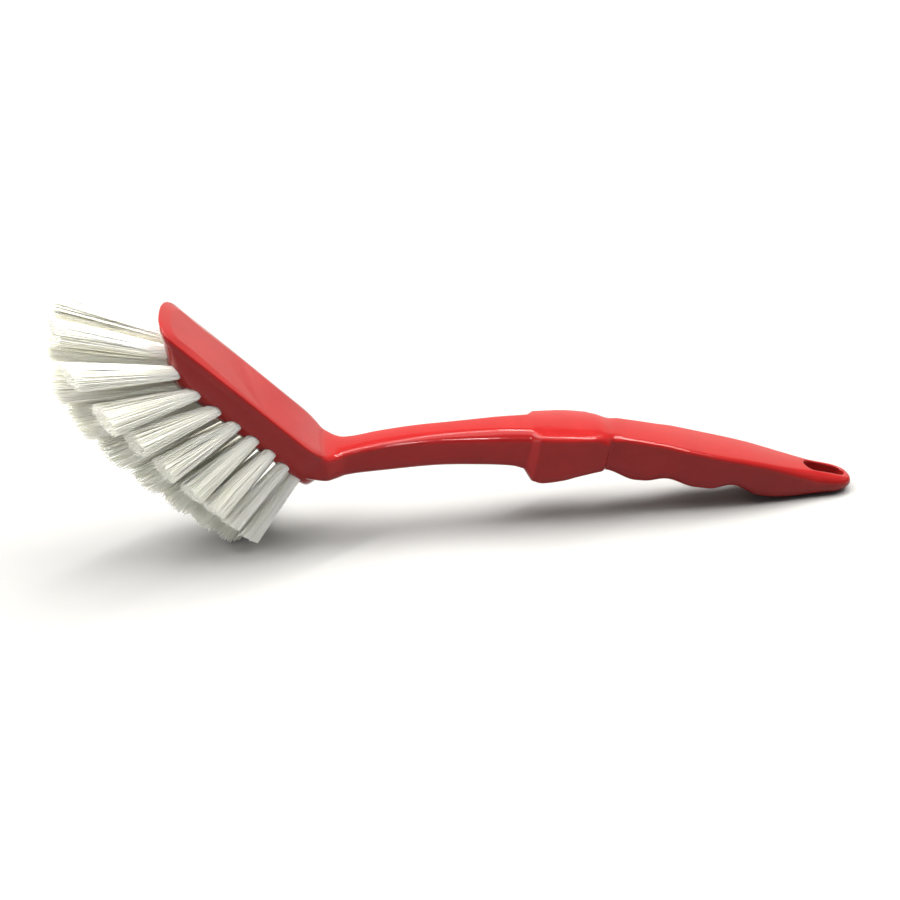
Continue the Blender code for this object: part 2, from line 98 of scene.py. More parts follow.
# Collar, as in the CAD
COLLAR_LENGTH = 0.0220
COLLAR_TOP = ((0.0, 0.0322), (0.45, 0.0314), (1.0, 0.0299))
COLLAR_BOTTOM = ((0.0, 0.0156), (0.15, 0.0144), (0.45, 0.0150), (0.65, 0.0158), (1.0, 0.0166))
COLLAR_HALF_WIDTH = ((0.0, 0.0098), (0.45, 0.0104), (1.0, 0.0092))
COLLAR_FACE = 0.0022
COLLAR_STEP = 0.0009
COLLAR_LEAN = 0.0030
COLLAR_REAR_LEAN = 0.0020
COLLAR_CROWN = 0.0012
COLLAR_TOP_ROUND = 0.0013

# Grip, as in the CAD but for its upper edges
GRIP_LENGTH = 0.0831
GRIP_TOP = ((0.0, 0.0296), (0.20, 0.0254), (0.43, 0.0196), (0.58, 0.0158), (0.716, 0.0118),
            (0.85, 0.0081), (0.944, 0.0058), (1.0, 0.0047))
GRIP_BOTTOM = ((0.0, 0.0132), (0.10, 0.0116), (0.20, 0.0100), (0.30, 0.0083), (0.40, 0.0065),
               (0.50, 0.0046), (0.56, 0.0031), (0.61, 0.0018), (0.66, 0.0008), (0.70, 0.0003),
               (0.74, 0.0), (0.875, 0.0), (1.0, 0.0010))
GRIP_HALF_WIDTH = ((0.0, 0.0077), (0.20, 0.0080), (0.29, 0.0088), (0.43, 0.0088), (0.57, 0.0083),
                   (0.716, 0.0074), (0.88, 0.0064), (1.0, 0.0060))
GRIP_TOP_ROUND = ((0.0, 0.0012), (0.31, 0.0013), (0.62, 0.0017), (0.80, 0.0030), (0.90, 0.0043),
                  (1.0, 0.0043))    # crisper than in the CAD's coarse sections
GRIP_LEAN_END = 0.12
GRIP_TIP_LENGTH = 0.0092
GRIP_TIP_SQUARENESS = 2.5
GRIP_TIP_HEIGHT = 0.35          # share of its height that the very end of the tip would keep
GRIP_TIP_END = 0.9932           # how far round its rounded end the CAD's grip goes
SCALLOPS = ((0.0, 0.0032, 0.0090), (0.235, 0.0018, 0.0086), (0.496, 0.0024, 0.0086))
UNDER_ROUND = 0.0040
TOP_CROWN = 0.0005

# Most of a section's half width, and of its height, that the rounding of an edge takes
WIDEST_ROUND = 0.8
TALLEST_UNDER_ROUND = 0.55
TALLEST_TOP_ROUND = 0.42

# Hang slot, holes and anchors, as in the CAD but for the slot's slope
SLOT_LENGTH = 0.0135
SLOT_WIDTH = 0.0054
SLOT_END_WALL = 0.0022
SLOT_DRAFT = 0.14               # slope of its walls, which the CAD leaves upright
SLOT_RIM = GRIP_TOP[-2][1]      # height at which it has the CAD's size
SLOT_LEVELS = (-0.002, 0.0, SLOT_RIM, 0.020)    # rings of its cutter, from under to over the grip
HOLE_DIAMETER = 0.0042
HOLE_DEPTH = 0.0060
ANCHOR_LIFT = 0.0013
ANCHOR_HEIGHT = 0.0016

# Fineness of the moulding's mesh
RING_SPACING = 0.0008
CORNER_STEPS = 8
CROWN_STEPS = 8
OUTLINE_STEPS = 40
SHOULDER_RINGS = 4
EDGE_RINGS = 4
DOME_RINGS = 20
GRIP_TIP_RINGS = 14
SLOT_END_STEPS = 24
HOLE_SIDES = 24
VOXEL = 0.00030

# Smoothing of the mesh, everywhere and more where faces of the moulding blend
SMOOTH_PASSES = 2
SMOOTH_SHARE = 0.5              # how far a pass moves a vertex towards its neighbours' middle
JUNCTION_PASSES = 70
JUNCTION_PLACE = 0.0055         # how far up the plate the neck meets it
JUNCTION_REACH = 0.0062         # distance over which that smoothing fades out around its core
JUNCTION_CORE = 0.3             # radius that is smoothed in full, as a share of that distance
JUNCTION_SCALE = (1.0, 0.5, 1.0)    # distance counts half across the brush
STEP_PASSES = 160               # for the step behind the collar, over the top of the handle
STEP_REACH = 0.0050             # distance from the step at which that ends
STEP_WEIGHT = 1.5               # at the step itself, before weights are cut off at 1
STEP_FLOOR = 0.0280             # height from which it is smoothed
STEP_FADE = 0.0008              # height over which that sets in

# Bristles
STRANDS = 260
STRAND_RADIUS = 0.00015
STRAND_SIDES = 5
STRAND_RINGS = 6
STRAND_JITTER = 0.012           # of a strand's place, as a share of the bundle's radius
CUT_SPREAD = 0.00022
WANDER = 0.00010
CLUMPS = 16
CLUMP_PULL = 0.03
PACKED_TIP = 0.8                # share of a packed tuft's length from which its width is read
TIP_TRIM = 0.0005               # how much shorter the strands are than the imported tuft
# For each tuft of a side row, from the heel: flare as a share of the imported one's, degrees that
# it hangs towards the handle, length as a share, and how much sooner its heel side is cut
FULLNESS = (1.06, 1.06, 1.14, 1.14, 1.24, 1.28, 1.32, 1.20, 1.12)
LEANS = (-1.4, -2.9, 0.5, 3.6, 3.0, 1.3, 6.0, 2.1, -2.1)
SHORTENED = (1.0, 1.0, 1.0, 1.0, 1.0, 1.0, 1.0, 1.0, 0.95)
CUT_ALONG = (0.0, 0.0, 0.0, 0.0, 0.0, 0.05, 0.20, 0.45, 0.25)
CUT_ACROSS = 0.50               # how much sooner its outer side is cut
MIDDLE_FULLNESS = 1.60
MIDDLE_ROOT = 1.35              # how much wider the middle row's holes are than the CAD's,
                                # apart from the one at the heel, where the block ends
ROOT_PINCH = ((0.0, 1.0), (0.0005, 0.97), (0.0010, 0.87), (0.0014, 0.70), (0.0017, 0.46),
              (0.0050, 0.46))       # depth in the hole, and the share of its width that is left

# Colours: place on the ramp, and red, green and blue
RED_TONES = ((0.3, (0.180, 0.0076, 0.0076)), (0.7, (0.220, 0.0100, 0.0099)))
NYLON_TONES = ((0.0, (0.89, 0.88, 0.74)), (0.5, (0.93, 0.92, 0.785)), (1.0, (0.96, 0.95, 0.825)))
STEEL_TONES = ((0.3, (0.20, 0.19, 0.17)), (0.7, (0.30, 0.29, 0.27)))

# Floor
FLOOR_LEVEL = -0.0002
FLOOR_HALF_SIZE = 6.0
FLOOR_COLOUR = (0.258, 0.258, 0.258, 1.0)

# Camera
CAMERA_PLACE_FROM_TIP = -0.17002    # its x, from the end of the handle
CAMERA_Y = -0.38043
CAMERA_HEIGHT = 0.24790
CAMERA_RIGHT = Vector((0.99369, -0.10927, -0.02550))
CAMERA_UP = Vector((0.07694, 0.49812, 0.86369))
CAMERA_LENS = 55.44
SENSOR_WIDTH = 36.0

# Strip lamps over the brush: degrees from upright towards the grip, and power
STRIPS = ((-7.5, 150.0), (20.5, 105.0), (27.5, 105.0), (35.0, 108.0))
STRIP_DISTANCE = 4.0
STRIP_BEHIND = 0.7              # how far behind the brush they hang
STRIP_WIDTH = 3.7
STRIP_HEIGHT = 0.12

# Spot that fills the tufts from the camera's side
FILL_PLACE = (-0.090, -0.832, 0.575)
FILL_TARGET = (-0.060, -0.012, 0.008)
FILL_POWER = 86.0
FILL_CONE = radians(5.8)
FILL_BLEND = 0.8
FILL_RADIUS = 0.12

# Sky, and tints of the lamps
SKY_COLOUR = (0.96, 0.98, 1.0, 1.0)
SKY_STRENGTH = 0.14
WARM = (1.0, 0.98, 0.94)
WARMER = (1.0, 0.96, 0.86)
NEUTRAL = (1.0, 1.0, 1.0)


# Curves and meshes

def smooth(points, t):
    """Height of a smooth curve through the points, without overshoot between them."""
    if t <= points[0][0]:
        return points[0][1]
    if t >= points[-1][0]:
        return points[-1][1]
    steps = [(b[1] - a[1]) / (b[0] - a[0]) for a, b in zip(points, points[1:])]
    tangents = [steps[0]]
    for before, after in zip(steps, steps[1:]):
        flat = before * after <= 0
        tangents.append(0.0 if flat else 2 * before * after / (before + after))
    tangents.append(steps[-1])
    i = max(k for k in range(len(steps)) if points[k][0] <= t)
    span = points[i + 1][0] - points[i][0]
    s = (t - points[i][0]) / span
    low, high = points[i][1], points[i + 1][1]
    rise = (3 - 2 * s) * s * s
    ease_in = s * (1 - s) * (1 - s) * span * tangents[i]
    ease_out = -s * s * (1 - s) * span * tangents[i + 1]
    return low + (high - low) * rise + ease_in + ease_out


def ease(low, high, value):
    """0 below low, 1 above high, and a soft step between."""
    s = min(1.0, max(0.0, (value - low) / (high - low)))
    return s * s * (3 - 2 * s)


def link(name, data):
    """Put an object with this data into the scene."""
    thing = bpy.data.objects.new(name, data)
    bpy.context.scene.collection.objects.link(thing)
    return thing


def new_object(name, mesh_edit):
    """Turn a mesh edit into an object with its faces outward."""
    bmesh.ops.recalc_face_normals(mesh_edit, faces=mesh_edit.faces[:])
    mesh = bpy.data.meshes.new(name)
    mesh_edit.to_mesh(mesh)
    mesh_edit.free()
    return link(name, mesh)


def loft(rings, edit=None):
    """Add a closed skin through rings that hold equally many points."""
    edit = edit or bmesh.new()
    loops = [[edit.verts.new(point) for point in ring] for ring in rings]
    count = len(rings[0])
    for low, high in zip(loops, loops[1:]):
        for i in range(count):
            j = (i + 1) % count
            edit.faces.new((low[i], low[j], high[j], high[i]))
    edit.faces.new(loops[0])
    edit.faces.new(loops[-1])
    return edit


def apply_modifiers(thing):
    """Replace an object's mesh by what its modifiers make of it."""
    depsgraph = bpy.context.evaluated_depsgraph_get()
    result = bpy.data.meshes.new_from_object(thing.evaluated_get(depsgraph))
    thing.modifiers.clear()
    thing.data = result


def cut(target, cutter, operation="DIFFERENCE"):
    """Apply a Boolean to the target, then delete the cutter."""
    modifier = target.modifiers.new("cut", "BOOLEAN")
    modifier.operation = operation
    modifier.solver = "EXACT"
    modifier.object = cutter
    apply_modifiers(target)
    bpy.data.objects.remove(cutter)


# Head

def head_point(u, y, n):
    """Place of a point in plate coordinates, with the plate's heel at x = 0."""
    x = -u * cos(PLATE_TILT) - n * sin(PLATE_TILT)
    z = PLATE_HEEL_HEIGHT + u * sin(PLATE_TILT) - n * cos(PLATE_TILT)
    return Vector((x, y, z))


def oval(heel, nose, half_width, heel_length, nose_length):
    """Plan outline of the head: straight sides, a rounded nose and a narrowing heel."""
    side = []
    for i in range(OUTLINE_STEPS + 1):
        angle = pi / 2 * i / OUTLINE_STEPS
        side.append((heel + heel_length * (1 - cos(angle)), half_width * sin(angle)))
    straight_start, straight_end = heel + heel_length, nose - nose_length
    for i in range(1, OUTLINE_STEPS):
        along = straight_start + (straight_end - straight_start) * i / OUTLINE_STEPS
        side.append((along, half_width))
    for i in range(OUTLINE_STEPS + 1):
        angle = pi / 2 * (1 - i / OUTLINE_STEPS)
        along = nose - nose_length * (1 - cos(angle) ** (2 / NOSE_SQUARENESS))
        side.append((along, half_width * sin(angle) ** (2 / NOSE_SQUARENESS)))
    other = [(u, -y) for u, y in side[-2:0:-1]]
    return side + other


def shoulder(sizes, u):
    """Width or drop of the shoulder at a place up the plate."""
    side, nose = sizes
    return side + (nose - side) * ease(*NOSE_SPAN, u)


def plate_ring(inset, n):
    """Contour of the plate at a depth; near the top face it is lowered by the shoulder."""
    nose = PLATE_LENGTH - inset - NOSE_UNDERCUT * n / PLATE_THICKNESS
    outline = oval(inset, nose, PLATE_WIDTH / 2 - inset, HEEL_LENGTH, NOSE_LENGTH)
    left = max(0.0, 1 - n / (PLATE_THICKNESS - RIM_ROUND))
    ring = []
    for u, y in outline:
        lowered = shoulder(SHOULDER_DROP, u) - SHOULDER_RISE * ease(*NOSE_SPAN, u)
        ring.append(head_point(u, y, n + left * lowered))
    return ring


def flat_ring(share):
    """Contour on the top face, from the edge of the flat at 0 to the rim's rounding at 1."""
    nose = PLATE_LENGTH - EDGE_ROUND
    outline = oval(EDGE_ROUND, nose, PLATE_WIDTH / 2 - EDGE_ROUND, HEEL_LENGTH, NOSE_LENGTH)
    nose_centre = PLATE_LENGTH - NOSE_LENGTH - PLATE_WIDTH / 2
    ring = []
    for u, y in outline:
        along = u - min(max(u, HEEL_LENGTH), nose_centre)
        inward = Vector((along, y)).normalized() * shoulder(SHOULDER_WIDTH, u) * (1 - share)
        rise = SHOULDER_RISE * ease(*NOSE_SPAN, u)
        drop = shoulder(SHOULDER_DROP, u) * share
        ring.append(head_point(u - inward.x, y - inward.y, drop - rise))
    return ring


def dome(level):
    """Half width, nose, heel and depth of the block's contour at a level from 0 to 1."""
    angle = pi / 2 * level
    half_width = (PLATE_WIDTH / 2 - BLOCK_SIDE_INSET) * cos(angle)
    nose = PLATE_LENGTH - BLOCK_NOSE_INSET - BLOCK_NOSE_LEAN * sin(angle)
    heel = -BLOCK_HEEL_REACH + BLOCK_HEEL_ROUND * (1 - cos(angle))
    depth = PLATE_THICKNESS + (BLOCK_DEPTH - PLATE_THICKNESS) * sin(angle)
    return half_width, nose, heel, depth


def block_ring(level):
    """Contour of the block at a level from 0 at the plate to 1 at the crest of its dome."""
    half_width, nose, heel, depth = dome(level)
    heel_length = HEEL_LENGTH * half_width / (PLATE_WIDTH / 2)
    nose_length = NOSE_LENGTH + half_width * sin(pi / 2 * level)
    outline = oval(heel, nose, half_width, heel_length, nose_length)
    return [head_point(u, y, depth) for u, y in outline]


def head():
    """The plate with its shoulder and rounded rim, and the domed block under it."""
    rings = [flat_ring(i / SHOULDER_RINGS) for i in range(SHOULDER_RINGS)]
    for i in range(EDGE_RINGS + 1):
        angle = pi / 2 * i / EDGE_RINGS
        rings.append(plate_ring(EDGE_ROUND * (1 - sin(angle)), EDGE_ROUND * (1 - cos(angle))))
    rings.append(plate_ring(0.0, PLATE_THICKNESS - RIM_ROUND))
    rings.append(plate_ring(RIM_ROUND / 2, PLATE_THICKNESS))
    for i in range(DOME_RINGS + 1):
        rings.append(block_ring(BLOCK_CREST * i / DOME_RINGS))
    return new_object("head", loft(rings))


# Neck, collar and grip

def section(x, lean, half_width, top, bottom, top_round, crown):
    """A rounded cross-section; its lower edge leans towards the head."""
    height = top - bottom
    widest = half_width * WIDEST_ROUND
    under_round = min(UNDER_ROUND, widest, height * TALLEST_UNDER_ROUND)
    top_round = min(top_round, widest, height * TALLEST_TOP_ROUND)
    points = []
    for side, level, radius, start in ((1, 1, top_round, 0), (1, -1, under_round, 1),
                                       (-1, -1, under_round, 2), (-1, 1, top_round, 3)):
        middle_y = side * (half_width - radius)
        middle_z = (top if level > 0 else bottom) - level * radius
        for i in range(CORNER_STEPS + 1):
            angle = pi / 2 - pi / 2 * (start + i / CORNER_STEPS)
            points.append((middle_y + radius * cos(angle), middle_z + radius * sin(angle)))
    flat = half_width - top_round
    for i in range(1, CROWN_STEPS + 1):
        points.append((-flat + 2 * flat * i / (CROWN_STEPS + 1), top))
    ring = []
    for y, z in points:
        share = (z - bottom) / height
        rise = crown * (1 - (y / half_width) ** 2) * max(0.0, 2 * share - 1)
        ring.append(Vector((x - lean * (1 - share), y, z + rise)))
    return ring


def shares(length, low=0.0, high=1.0):
    """Evenly spaced shares from low to high, about one ring spacing apart."""
    count = max(2, round(length * (high - low) / RING_SPACING))
    return [low + (high - low) * i / count for i in range(count + 1)]


def neck_top(t):
    """Height of the neck's top face, which sinks under the plate's where they meet."""
    return smooth(NECK_TOP, t) - NECK_SINK * ease(*NECK_SINK_SPAN, -t)


def neck_sections():
    """Rings of the neck, from its root in the head to the collar."""
    rings = []
    for t in shares(NECK_LENGTH, NECK_START, 1.0):
        lean = COLLAR_LEAN * max(0.0, t) ** NECK_LEAN_POWER
        rings.append(section(t * NECK_LENGTH, lean, smooth(NECK_HALF_WIDTH, t), neck_top(t),
                             smooth(NECK_BOTTOM, t), smooth(NECK_TOP_ROUND, t), TOP_CROWN))
    return rings


def collar_sections():
    """Rings of the collar, which starts behind its slanted front face."""
    start = NECK_LENGTH + COLLAR_FACE
    rings = []
    for t in shares(COLLAR_LENGTH):
        lean = COLLAR_LEAN + (COLLAR_REAR_LEAN - COLLAR_LEAN) * t
        rings.append(section(start + t * COLLAR_LENGTH, lean, smooth(COLLAR_HALF_WIDTH, t),
                             smooth(COLLAR_TOP, t), smooth(COLLAR_BOTTOM, t), COLLAR_TOP_ROUND,
                             COLLAR_CROWN))
    return rings


def grip_bottom(t):
    """Underside of the grip: a belly down to the foot, with a scallop for each finger."""
    height = smooth(GRIP_BOTTOM, t)
    for place, depth, half_length in SCALLOPS:
        away = abs(t - place) * GRIP_LENGTH / half_length
        if away < 1:
            height += depth * (1 + cos(pi * away)) / 2
    return height


def grip_start():
    """Where the grip starts, from the plate's heel."""
    return NECK_LENGTH + COLLAR_FACE + COLLAR_LENGTH + COLLAR_STEP


def grip_tip(away):
    """Share of the grip's length, and how full its section still is, near the rounded tip."""
    tip_start = 1 - GRIP_TIP_LENGTH / GRIP_LENGTH
    fullness = (1 - away ** GRIP_TIP_SQUARENESS) ** (1 / GRIP_TIP_SQUARENESS)
    return tip_start + (1 - tip_start) * away, fullness


def grip_sections():
    """Rings of the grip, and of the rounded tip that closes it."""
    rings = []
    for t in shares(GRIP_LENGTH, 0.0, grip_tip(0)[0]):
        lean = COLLAR_REAR_LEAN * max(0.0, 1 - t / GRIP_LEAN_END)
        rings.append(section(grip_start() + t * GRIP_LENGTH, lean, smooth(GRIP_HALF_WIDTH, t),
                             smooth(GRIP_TOP, t), grip_bottom(t), smooth(GRIP_TOP_ROUND, t),
                             TOP_CROWN))
    for i in range(1, GRIP_TIP_RINGS + 1):
        t, fullness = grip_tip(GRIP_TIP_END * i / GRIP_TIP_RINGS)
        half_width = smooth(GRIP_HALF_WIDTH, t) * fullness
        top, bottom = smooth(GRIP_TOP, t), grip_bottom(t)
        middle = (top + bottom) / 2
        half_height = (top - bottom) / 2 * (GRIP_TIP_HEIGHT + (1 - GRIP_TIP_HEIGHT) * fullness)
        rings.append(section(grip_start() + t * GRIP_LENGTH, 0.0, half_width,
                             middle + half_height, middle - half_height,
                             smooth(GRIP_TOP_ROUND, t) * fullness, TOP_CROWN * fullness))
    return rings


def hang_slot():
    """Cutter for the slot: an upright bar with round ends that widens upwards."""
    end = grip_start() + GRIP_LENGTH - SLOT_END_WALL
    radius = SLOT_WIDTH / 2
    outline = []
    for centre, start in ((end - radius, -pi / 2), (end - SLOT_LENGTH + radius, pi / 2)):
        for i in range(SLOT_END_STEPS + 1):
            angle = start + pi * i / SLOT_END_STEPS
            outline.append((centre + radius * cos(angle), radius * sin(angle)))
    middle = sum(x for x, _ in outline) / len(outline)
    rings = []
    for level in SLOT_LEVELS:
        grown = 1 + SLOT_DRAFT * (level - SLOT_RIM) / radius
        longer = 1 + (grown - 1) * SLOT_WIDTH / SLOT_LENGTH
        rings.append([Vector((middle + (x - middle) * longer, y * grown, level))
                      for x, y in outline])
    return new_object("hang_slot", loft(rings))


# Holes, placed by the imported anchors

def hole_frame(name):
    """Matrix at a tuft's root: Z along the tuft, Y across the head, from its anchor's shape."""
    corners = np.array([corner.co for corner in nodes["anchor_" + name].data.vertices])
    middle = (corners.min(axis=0) + corners.max(axis=0)) / 2
    _, _, directions = np.linalg.svd(corners - corners.mean(axis=0), full_matrices=False)
    across, axis = Vector(directions[0]), Vector(directions[1])
    tuft_corners = np.array([corner.co for corner in nodes["tuft_" + name].data.vertices])
    if (Vector(tuft_corners.mean(axis=0)) - Vector(middle)).dot(axis) < 0:
        axis.negate()
    if across.y < 0:
        across.negate()
    along = across.cross(axis)
    place = Matrix((along, across, axis)).transposed().to_4x4()
    place.translation = Vector(middle) + axis * (HOLE_DEPTH - ANCHOR_LIFT - ANCHOR_HEIGHT / 2)
    return place


def root_width(name):
    """How much wider a hole and the root of its tuft are than the CAD's."""
    return MIDDLE_ROOT if name.startswith("mid") and name != "mid_1" else 1.0


def drills(holes, shift):
    """Cutters for the holes, which close in around the drawn-in roots of the tufts."""
    edit = bmesh.new()
    for name, place in holes.items():
        moved = Matrix.Translation((-shift, 0, 0)) @ place
        rings = []
        for depth, share in ((-HOLE_DEPTH, 1.0), *ROOT_PINCH):
            radius = HOLE_DIAMETER / 2 * share * root_width(name)
            ring = []
            for i in range(HOLE_SIDES):
                angle = 2 * pi * i / HOLE_SIDES
                ring.append(moved @ Vector((radius * cos(angle), radius * sin(angle), -depth)))
            rings.append(ring)
        loft(rings, edit)
    return new_object("drills", edit)


# The moulding

def relax(mesh, passes, weight=None):
    """Average each vertex with its neighbours, by its weight."""
    count = len(mesh.vertices)
    places = np.empty(count * 3)
    mesh.vertices.foreach_get("co", places)
    places = places.reshape(-1, 3)
    edges = np.empty(len(mesh.edges) * 2, dtype=np.int64)
    mesh.edges.foreach_get("vertices", edges)
    first, second = edges.reshape(-1, 2).T
    neighbours = np.bincount(first, minlength=count) + np.bincount(second, minlength=count)
    share = SMOOTH_SHARE if weight is None else (SMOOTH_SHARE * weight(places))[:, None]
    for _ in range(passes):
        total = np.empty_like(places)
        for axis in range(3):
            column = places[:, axis]
            total[:, axis] = (np.bincount(first, column[second], count)
                              + np.bincount(second, column[first], count))
        places = places + share * (total / neighbours[:, None] - places)
    mesh.vertices.foreach_set("co", places.ravel())
    mesh.update()


def near_junction(places):
    """Weight of the soft blend where the neck leaves the plate."""
    crease = np.array(head_point(JUNCTION_PLACE, 0.0, 0.0))
    away = np.linalg.norm((places - crease) * JUNCTION_SCALE, axis=1)
    return np.clip(1 + JUNCTION_CORE - away / JUNCTION_REACH, 0.0, 1.0)


def near_collar_step(places):
    """Weight of the soft step from the top of the collar down to the grip."""
    step = NECK_LENGTH + COLLAR_FACE + COLLAR_LENGTH + COLLAR_STEP / 2
    away = np.abs(places[:, 0] - step)
    along = np.clip(STEP_WEIGHT - STEP_WEIGHT * away / STEP_REACH, 0.0, 1.0)
    level = np.clip((places[:, 2] - STEP_FLOOR) / STEP_FADE, 0.0, 1.0)
    return along * level


def moulding(holes, shift):
    """The whole moulding as one fine mesh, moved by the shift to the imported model's place."""
    body = new_object("moulding", loft(neck_sections() + collar_sections() + grip_sections()))
    cut(body, head(), "UNION")
    cut(body, hang_slot())
    cut(body, drills(holes, shift))
    modifier = body.modifiers.new("remesh", "REMESH")
    modifier.mode = "VOXEL"
    modifier.voxel_size = VOXEL
    apply_modifiers(body)
    relax(body.data, JUNCTION_PASSES, near_junction)
    relax(body.data, STEP_PASSES, near_collar_step)
    relax(body.data, SMOOTH_PASSES)
    body.data.shade_smooth()
    body.data.transform(Matrix.Translation((shift, 0, 0)))
    return body


# Tufts

def strand_places(draw):
    """Places of the strands in a round bundle of radius 1, evenly packed."""
    golden = pi * (3 - sqrt(5))
    number = np.arange(STRANDS)
    radius = np.sqrt((number + 0.5) / STRANDS)
    angle = number * golden
    places = np.stack([radius * np.cos(angle), radius * np.sin(angle)], axis=1)
    return places + draw.normal(0.0, STRAND_JITTER, places.shape)


def tuft_reach(name, place):
    """Length of the strands of a packed tuft, and its radius at the cut."""
    inward = place.inverted()
    corners = np.array([inward @ corner.co for corner in nodes["tuft_" + name].data.vertices])
    tips = corners[corners[:, 2] > PACKED_TIP * corners[:, 2].max()]
    return corners[:, 2].max() - TIP_TRIM, np.hypot(tips[:, 0], tips[:, 1]).max()


def tip_slope(name, holes):
    """Slope of the line through the tips of a tuft's neighbours, seen from the tuft."""
    row, number = name.split("_")
    ends = []
    for step in (-1, 1):
        other = f"{row}_{int(number) + step}"
        other = other if other in holes else name
        ends.append(holes[other] @ Vector((0, 0, tuft_reach(other, holes[other])[0])))
    line = holes[name].to_3x3().inverted() @ (ends[1] - ends[0])
    return line.z / line.x


def tuft_shape(name, holes):
    """Length of a tuft, its radius at the cut, how far it hangs, and its cut's slopes."""
    length, cut_radius = tuft_reach(name, holes[name])
    row, number = name.split("_")
    if row == "mid":
        return length, cut_radius * MIDDLE_FULLNESS, 0.0, (tip_slope(name, holes), 0.0)
    index = int(number) - 1
    length *= SHORTENED[index]
    hang = length * tan(radians(LEANS[index]))
    slope_across = CUT_ACROSS if row == "near" else -CUT_ACROSS
    return length, cut_radius * FULLNESS[index], hang, (CUT_ALONG[index], slope_across)


def trim_at_floor(path):
    """Shorten a strand that would end below the table."""
    buried = len(ROOT_PINCH) - 1
    root, tip = path[buried], path[-1]
    if tip[2] >= 0:
        return path
    share = root[2] / (root[2] - tip[2])
    return np.concatenate((path[:buried], root + (path[buried:] - root) * share))


def add_strand(vertices, faces, path, turn):
    """Add a thin tube along a path, with a flat cut at its tip."""
    direction = path[-1] - path[0]
    direction = direction / np.linalg.norm(direction)
    side = np.cross(direction, (0.0, 1.0, 0.0))
    side = side / np.linalg.norm(side)
    other = np.cross(direction, side)
    angles = turn + 2 * pi * np.arange(STRAND_SIDES) / STRAND_SIDES
    ring = STRAND_RADIUS * (np.cos(angles)[:, None] * side + np.sin(angles)[:, None] * other)
    start = len(vertices)
    for point in path:
        vertices.extend(map(tuple, point + ring))
    vertices.extend(map(tuple, path[-1] + ring))
    for k in range(len(path) - 1):
        low, high = start + k * STRAND_SIDES, start + (k + 1) * STRAND_SIDES
        for i in range(STRAND_SIDES):
            j = (i + 1) % STRAND_SIDES
            faces.append((low + i, low + j, high + j, high + i))
    end = start + len(path) * STRAND_SIDES
    faces.append(tuple(end + i for i in range(STRAND_SIDES)))


def tuft(name, holes, seed):
    """A bundle of fine strands that fans out from its hole and is trimmed at the tips."""
    draw = np.random.default_rng(seed)
    length, cut_radius, hang, slopes = tuft_shape(name, holes)
    root_radius = HOLE_DIAMETER / 2 * root_width(name) - STRAND_RADIUS
    spots = strand_places(draw)
    centres = strand_places(draw)[draw.choice(STRANDS, CLUMPS, replace=False)]
    nearest = np.argmin(np.linalg.norm(spots[:, None] - centres[None], axis=2), axis=1)
    spread = spots + CLUMP_PULL * (centres[nearest] - spots)
    ends = spread * (cut_radius - STRAND_RADIUS) + draw.normal(0.0, WANDER, spots.shape)
    bows = draw.normal(0.0, WANDER, spots.shape)
    lengths = length + ends @ slopes + draw.normal(0.0, CUT_SPREAD, STRANDS)
    ends[:, 0] -= hang
    turns = draw.uniform(0.0, 2 * pi, STRANDS)
    vertices, faces = [], []
    matrix = np.array(holes[name])
    for i in range(STRANDS):
        root = spots[i] * root_radius
        path = [(*(root * share), -depth) for depth, share in ROOT_PINCH[:0:-1]]
        for k in range(STRAND_RINGS + 1):
            s = k / STRAND_RINGS
            across = root * (1 - s) + ends[i] * s + bows[i] * sin(pi * s)
            path.append((*across, lengths[i] * s))
        path = np.array(path) @ matrix[:3, :3].T + matrix[:3, 3]
        add_strand(vertices, faces, trim_at_floor(path), turns[i])
    mesh = bpy.data.meshes.new("bristle_" + name)
    mesh.from_pydata(vertices, [], faces)
    mesh.shade_smooth()
    return link("bristle_" + name, mesh)


# Materials

def new_material(name):
    """A material with its nodes and its links."""
    material = bpy.data.materials.new(name)
    material.use_nodes = True
    return material, material.node_tree.nodes, material.node_tree.links


def object_coordinates(tree):
    return tree.new("ShaderNodeTexCoord").outputs["Object"]


def noise(tree, links, place, scale, detail, roughness=0.5):
    """Value of a noise texture at a place."""
    texture = tree.new("ShaderNodeTexNoise")
    texture.inputs["Scale"].default_value = scale
    texture.inputs["Detail"].default_value = detail
    texture.inputs["Roughness"].default_value = roughness
    links.new(place, texture.inputs["Vector"])
    return texture.outputs["Fac"]


def colour_ramp(tree, links, value, stops):
    """Colour that a value picks between the stops."""
    ramp = tree.new("ShaderNodeValToRGB")
    elements = ramp.color_ramp.elements
    while len(elements) < len(stops):
        elements.new(0.5)
    for element, (place, colour) in zip(elements, stops):
        element.position = place
        element.color = (*colour, 1.0)
    links.new(value, ramp.inputs["Fac"])
    return ramp.outputs["Color"]


def map_range(tree, links, value, low, high):
    """A value from 0 to 1, brought to the range from low to high."""
    box = tree.new("ShaderNodeMapRange")
    box.inputs["To Min"].default_value = low
    box.inputs["To Max"].default_value = high
    links.new(value, box.inputs["Value"])
    return box.outputs["Result"]


def bump(tree, links, height, distance, strength):
    """Bump node over a height."""
    box = tree.new("ShaderNodeBump")
    box.inputs["Distance"].default_value = distance
    box.inputs["Strength"].default_value = strength
    links.new(height, box.inputs["Height"])
    return box


